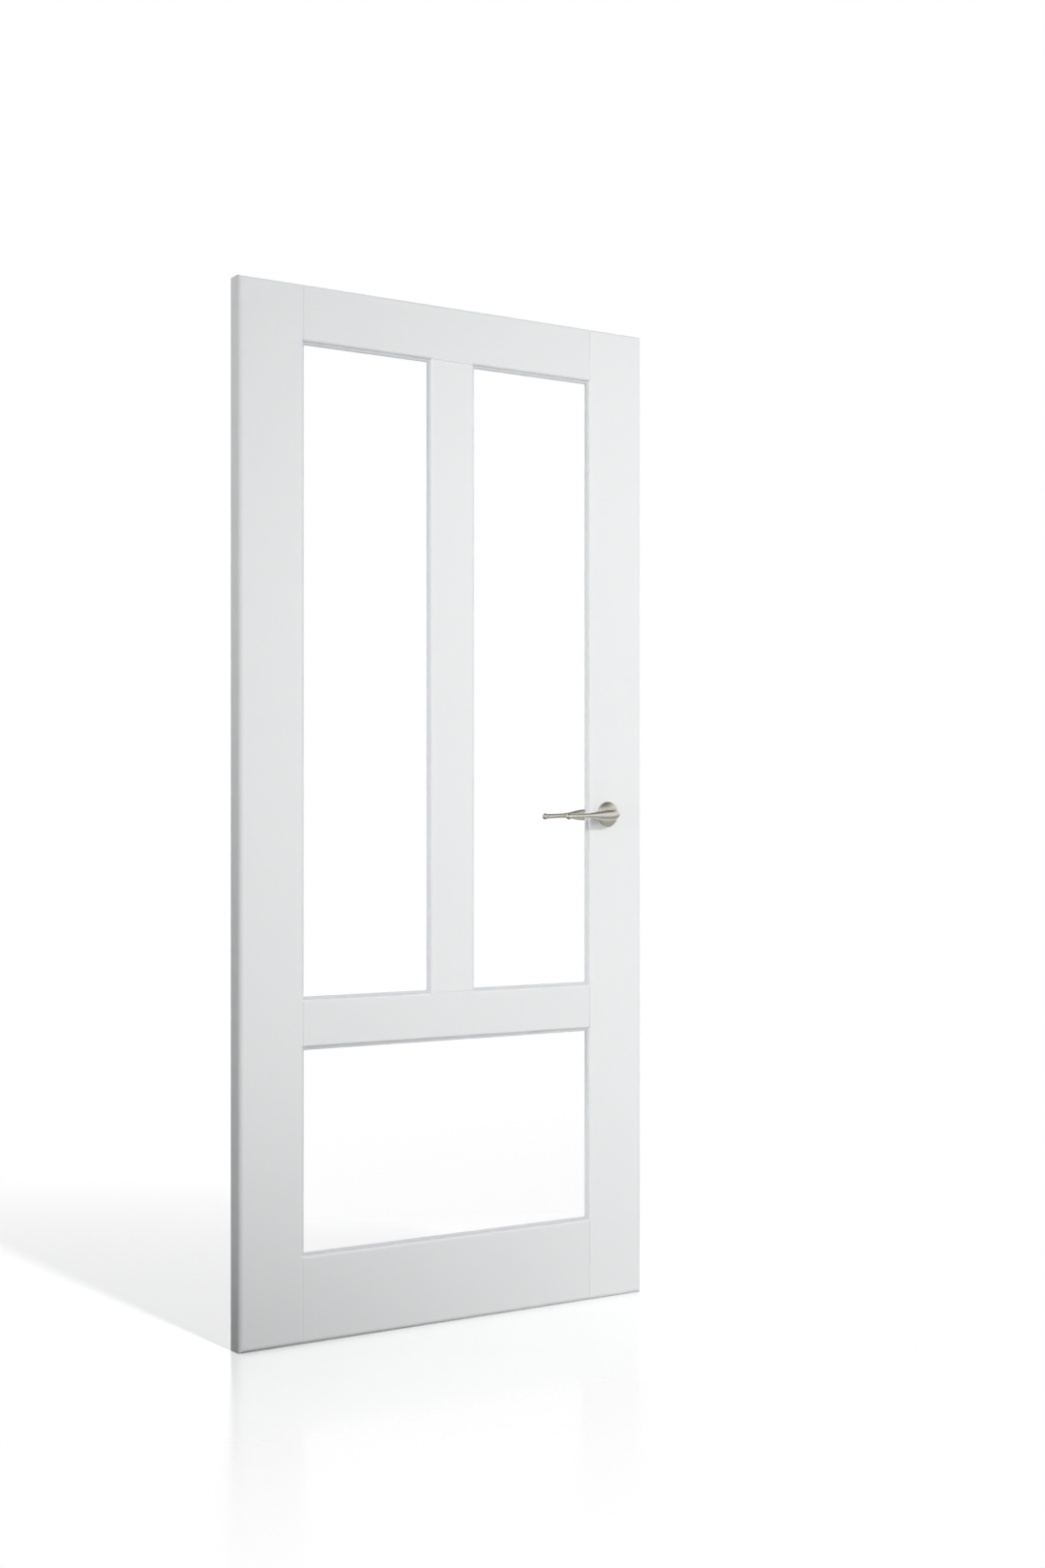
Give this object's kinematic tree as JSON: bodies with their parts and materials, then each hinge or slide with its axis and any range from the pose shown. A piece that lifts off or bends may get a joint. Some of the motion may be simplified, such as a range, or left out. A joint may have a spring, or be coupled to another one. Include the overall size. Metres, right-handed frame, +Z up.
{
  "type": "glazed interior door leaf",
  "caption": "White painted timber interior door leaf with two tall clear lights over one wide light, bevelled glazing beads on the back, and a sprung lever set on a tubular latch.",
  "frame": {"origin": "on the hinge edge's flat face, at mid-thickness, at the foot of the leaf", "axes": "+X from the hinge edge to the lock edge, +Y from the front face to the back face, +Z up"},
  "size_m": [0.927, 0.137, 1.981],
  "materials": {
    "painted_timber": "white satin paint",
    "painted_bead": "white satin paint",
    "clear_glass": "clear float",
    "satin_nickel": "satin nickel plate",
    "latch_steel": "plain zinc"
  },
  "bodies": {
    "leaf": {"hinge_stile": "painted_timber", "lock_stile": "painted_timber", "top_rail": "painted_timber", "middle_rail": "painted_timber", "bottom_rail": "painted_timber", "mullion": "painted_timber", "upper_left_bead_top": "painted_bead", "upper_left_bead_bottom": "painted_bead", "upper_left_bead_left": "painted_bead", "upper_left_bead_right": "painted_bead", "upper_right_bead_top": "painted_bead", "upper_right_bead_bottom": "painted_bead", "upper_right_bead_left": "painted_bead", "upper_right_bead_right": "painted_bead", "lower_bead_top": "painted_bead", "lower_bead_bottom": "painted_bead", "lower_bead_left": "painted_bead", "lower_bead_right": "painted_bead", "upper_left_glass": "clear_glass", "upper_right_glass": "clear_glass", "lower_glass": "clear_glass", "front_rose": "satin_nickel", "back_rose": "satin_nickel", "latch_tube": "latch_steel", "latch_forend": "latch_steel", "latch_bolt": "latch_steel"},
    "lever": {"front_lever": "satin_nickel", "back_lever": "satin_nickel", "spindle": "latch_steel"}
  },
  "joints": [
    {"name": "lever_turn", "type": "hinge", "parent": "leaf", "child": "lever", "pos_m": [0.829, 0, 0.991], "axis": [0, -1, 0], "range_deg": [0, 40], "stiffness_Nm_per_rad": 0.9, "springref_deg": -34.38}
  ]
}
